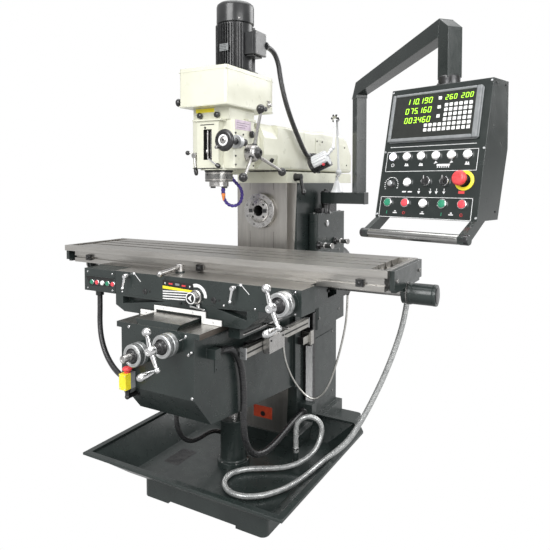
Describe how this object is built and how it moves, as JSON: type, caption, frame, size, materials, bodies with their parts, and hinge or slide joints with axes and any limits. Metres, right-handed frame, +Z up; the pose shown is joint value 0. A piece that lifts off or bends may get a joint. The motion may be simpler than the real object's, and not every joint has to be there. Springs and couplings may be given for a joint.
{
  "type": "milling machine",
  "caption": "Knee-type milling machine with a swivelling vertical ram head, a horizontal spindle in the column, a long T-slot table and a control pendant on a swing arm.",
  "frame": {"origin": "on the floor at the centre of the four anchor bolts, under the column's front way", "axes": "+Z up, +X to the operator's right, +Y from the operator to the back of the machine"},
  "size_m": [1.6845, 1.59, 1.862],
  "materials": {
    "casting_grey": "satin enamel over cast iron, slightly rippled",
    "cream_paint": "semi-gloss cream enamel",
    "machined_steel": "ground and scraped steel",
    "chrome": "polished chrome plate",
    "steel": "turned steel",
    "motor_black": "black enamel, ribbed",
    "black_plastic": "moulded black plastic",
    "button_plastic": "coloured push buttons",
    "stop_red": "red mushroom button",
    "hose_black": "ribbed black conduit",
    "hose_clear": "clear hose with wire braid",
    "armour_cable": "spiral metal armour",
    "coolant_purple": "jointed plastic hose",
    "rubber": "black rubber",
    "white_enamel": "white scale cover",
    "aluminium": "extruded aluminium",
    "lamp_grey": "light grey enamel"
  },
  "bodies": {
    "column": {"base_casting": "casting_grey", "chip_tray": "casting_grey", "column_casting": "casting_grey", "ram_base": "cream_paint", "gearbox_housing": "casting_grey", "column_motor": "motor_black", "knee_screw_post": "casting_grey", "z_scale": "white_enamel", "drain_hose": "hose_clear"},
    "knee": {"knee_casting": "casting_grey", "knee_scales": "aluminium", "stop_box": "button_plastic", "knee_conduit": "hose_black", "side_conduit": "hose_black"},
    "knee_screw": {"knee_screw": "steel"},
    "z_shaft": {"z_shaft": "chrome"},
    "y_crank": {"y_crank": "chrome"},
    "saddle": {"saddle_casting": "casting_grey", "feed_apron": "casting_grey", "button_station": "casting_grey", "station_buttons": "button_plastic", "station_conduit": "hose_black", "scale_cable": "armour_cable"},
    "x_crank": {"x_crank": "chrome"},
    "feed_knob": {"feed_knob": "aluminium"},
    "lock_lever_left": {"lock_lever_left": "chrome"},
    "lock_lever_right": {"lock_lever_right": "chrome"},
    "feed_lever": {"feed_lever": "steel"},
    "table": {"table": "machined_steel", "table_end_brackets": "casting_grey"},
    "lead_screw": {"x_lead_screw": "steel"},
    "ram": {"ram": "cream_paint", "coolant_hose": "coolant_purple"},
    "ram_lock_lever": {"ram_lock_lever": "black_plastic"},
    "head": {"head_casting": "cream_paint", "belt_cover": "cream_paint", "head_motor": "motor_black", "drive_belt": "rubber", "motor_cable": "hose_black"},
    "spindle_pulley": {"spindle_pulley": "aluminium"},
    "motor_pulley": {"motor_pulley": "aluminium"},
    "quill": {"quill": "machined_steel"},
    "vertical_spindle": {"vertical_spindle": "steel"},
    "quill_feed_handle": {"quill_feed_handle": "chrome"},
    "fine_feed_wheel": {"fine_feed_wheel": "black_plastic"},
    "quill_lock_lever": {"quill_lock_lever": "chrome"},
    "horizontal_spindle": {"horizontal_spindle": "steel"},
    "gear_lever_front": {"gear_lever_front": "chrome"},
    "gear_lever_rear": {"gear_lever_rear": "chrome"},
    "arm": {"pendant_arm": "casting_grey", "lamp_base": "lamp_grey"},
    "pendant": {"pendant_box": "casting_grey", "dro_console": "black_plastic", "panel_buttons": "button_plastic"},
    "panel_selector_left": {"panel_selector_left": "black_plastic"},
    "panel_selector_right": {"panel_selector_right": "black_plastic"},
    "panel_estop": {"panel_estop": "stop_red"},
    "lamp_lower_arm": {"lamp_lower_arm": "lamp_grey"},
    "lamp_upper_arm": {"lamp_upper_arm": "lamp_grey"},
    "lamp_head": {"lamp_head": "aluminium"}
  },
  "joints": [
    {"name": "knee_slide", "type": "slide", "parent": "column", "child": "knee", "axis": [0, 0, 1], "range_m": [-0.21, 0.055], "deforming": ["drain_hose", "station_conduit", "knee_conduit", "side_conduit", "motor_cable", "scale_cable", "coolant_hose"]},
    {"name": "saddle_slide", "type": "slide", "parent": "knee", "child": "saddle", "axis": [0, 1, 0], "range_m": [-0.185, 0.075]},
    {"name": "table_slide", "type": "slide", "parent": "saddle", "child": "table", "axis": [1, 0, 0], "range_m": [-0.39, 0.39]},
    {"name": "knee_screw_turn", "type": "hinge", "parent": "knee", "child": "knee_screw", "pos_m": [0, -0.213, 0.5], "axis": [0, 0, 1], "continuous": true},
    {"name": "z_shaft_turn", "type": "hinge", "parent": "knee", "child": "z_shaft", "pos_m": [-0.048, -0.66, 0.646], "axis": [0, -1, 0], "continuous": true},
    {"name": "y_crank_turn", "type": "hinge", "parent": "knee", "child": "y_crank", "pos_m": [0.072, -0.66, 0.692], "axis": [0, -1, 0], "continuous": true},
    {"name": "x_crank_turn", "type": "hinge", "parent": "saddle", "child": "x_crank", "pos_m": [0.414, -0.55, 0.834], "axis": [0, -1, 0], "continuous": true},
    {"name": "lead_screw_turn", "type": "hinge", "parent": "table", "child": "lead_screw", "pos_m": [0, -0.266, 0.842], "axis": [1, 0, 0], "continuous": true},
    {"name": "feed_knob_turn", "type": "hinge", "parent": "saddle", "child": "feed_knob", "pos_m": [0.075, -0.545, 0.815], "axis": [0, 1, 0], "range_deg": [-60, 60]},
    {"name": "lock_lever_left_turn", "type": "hinge", "parent": "saddle", "child": "lock_lever_left", "pos_m": [-0.228, -0.541, 0.858], "axis": [0, 1, 0], "range_deg": [-60, 60]},
    {"name": "lock_lever_right_turn", "type": "hinge", "parent": "saddle", "child": "lock_lever_right", "pos_m": [0.228, -0.541, 0.858], "axis": [0, 1, 0], "range_deg": [-60, 60]},
    {"name": "feed_lever_turn", "type": "hinge", "parent": "saddle", "child": "feed_lever", "pos_m": [-0.059, -0.452, 0.89], "axis": [0, 0, 1], "range_deg": [-30, 30]},
    {"name": "ram_slide", "type": "slide", "parent": "column", "child": "ram", "axis": [0, -1, 0], "range_m": [-0.02, 0.3]},
    {"name": "ram_lock_turn", "type": "hinge", "parent": "column", "child": "ram_lock_lever", "pos_m": [0.135, 0.07, 1.21], "axis": [1, 0, 0], "range_deg": [-40, 40]},
    {"name": "head_tilt", "type": "hinge", "parent": "ram", "child": "head", "pos_m": [0, -0.178, 1.325], "axis": [0, 1, 0], "range_deg": [-45, 45]},
    {"name": "quill_slide", "type": "slide", "parent": "head", "child": "quill", "axis": [0, 0, -1], "range_m": [0, 0.127]},
    {"name": "feed_handle_turn", "type": "hinge", "parent": "head", "child": "quill_feed_handle", "pos_m": [0.118, -0.245, 1.295], "axis": [1, 0, 0], "continuous": true},
    {"name": "fine_feed_turn", "type": "hinge", "parent": "head", "child": "fine_feed_wheel", "pos_m": [0.104, -0.41, 1.331], "axis": [0, 1, 0], "continuous": true},
    {"name": "quill_lock_turn", "type": "hinge", "parent": "head", "child": "quill_lock_lever", "pos_m": [-0.069, -0.35, 1.285], "axis": [0, 1, 0], "range_deg": [0, 60]},
    {"name": "vertical_spindle_turn", "type": "hinge", "parent": "quill", "child": "vertical_spindle", "pos_m": [0, -0.3, 1.3], "axis": [0, 0, 1], "continuous": true},
    {"name": "spindle_pulley_turn", "type": "hinge", "parent": "head", "child": "spindle_pulley", "pos_m": [0, -0.3, 1.5], "axis": [0, 0, 1], "continuous": true},
    {"name": "motor_pulley_turn", "type": "hinge", "parent": "head", "child": "motor_pulley", "pos_m": [0, -0.189, 1.5], "axis": [0, 0, 1], "continuous": true},
    {"name": "horizontal_spindle_turn", "type": "hinge", "parent": "column", "child": "horizontal_spindle", "pos_m": [0, 0.2, 1.072], "axis": [0, 1, 0], "continuous": true},
    {"name": "gear_lever_front_turn", "type": "hinge", "parent": "column", "child": "gear_lever_front", "pos_m": [0.2, 0.15, 0.921], "axis": [1, 0, 0], "range_deg": [-30, 30]},
    {"name": "gear_lever_rear_turn", "type": "hinge", "parent": "column", "child": "gear_lever_rear", "pos_m": [0.2, 0.318, 0.925], "axis": [1, 0, 0], "range_deg": [-30, 30]},
    {"name": "arm_swing", "type": "hinge", "parent": "column", "child": "arm", "pos_m": [0.179, 0.25, 1.1], "axis": [0, 0, 1], "range_deg": [-5, 80]},
    {"name": "pendant_swivel", "type": "hinge", "parent": "arm", "child": "pendant", "pos_m": [0.803, -0.1962, 1.5], "axis": [0, 0, 1], "range_deg": [-60, 60]},
    {"name": "panel_selector_left_turn", "type": "hinge", "parent": "pendant", "child": "panel_selector_left", "pos_m": [0.76303, -0.32473, 1.19275], "axis": [-0.2687, -0.9372, 0.2226], "range_deg": [-45, 45]},
    {"name": "panel_selector_right_turn", "type": "hinge", "parent": "pendant", "child": "panel_selector_right", "pos_m": [0.8207, -0.34126, 1.19275], "axis": [-0.2687, -0.9372, 0.2226], "range_deg": [-45, 45]},
    {"name": "panel_estop_press", "type": "slide", "parent": "pendant", "child": "panel_estop", "axis": [0.2687, 0.9372, -0.2226], "range_m": [0, 0.004], "stiffness_N_per_m": 2000},
    {"name": "lamp_lower_turn", "type": "hinge", "parent": "arm", "child": "lamp_lower_arm", "pos_m": [0.238, 0.25, 1.232], "axis": [0, 1, 0], "range_deg": [-2, 12]},
    {"name": "lamp_upper_turn", "type": "hinge", "parent": "lamp_lower_arm", "child": "lamp_upper_arm", "pos_m": [0.228, 0.25, 1.464], "axis": [1, 0, 0], "range_deg": [-30, 8]},
    {"name": "lamp_head_turn", "type": "hinge", "parent": "lamp_upper_arm", "child": "lamp_head", "pos_m": [0.257, 0.125, 1.32], "axis": [0, 1, 0], "range_deg": [-20, 30]}
  ],
  "couplings": [
    {"joint": "knee_screw_turn", "follows": "knee_slide", "rad_per_m": 1256.6},
    {"joint": "z_shaft_turn", "follows": "knee_slide", "rad_per_m": 1256.6},
    {"joint": "y_crank_turn", "follows": "saddle_slide", "rad_per_m": 1256.6},
    {"joint": "x_crank_turn", "follows": "table_slide", "rad_per_m": 1256.6},
    {"joint": "lead_screw_turn", "follows": "table_slide", "rad_per_m": 1256.6},
    {"joint": "feed_handle_turn", "follows": "quill_slide", "rad_per_m": 71.429},
    {"joint": "spindle_pulley_turn", "follows": "vertical_spindle_turn", "ratio": 1},
    {"joint": "motor_pulley_turn", "follows": "vertical_spindle_turn", "ratio": 1.4286}
  ]
}
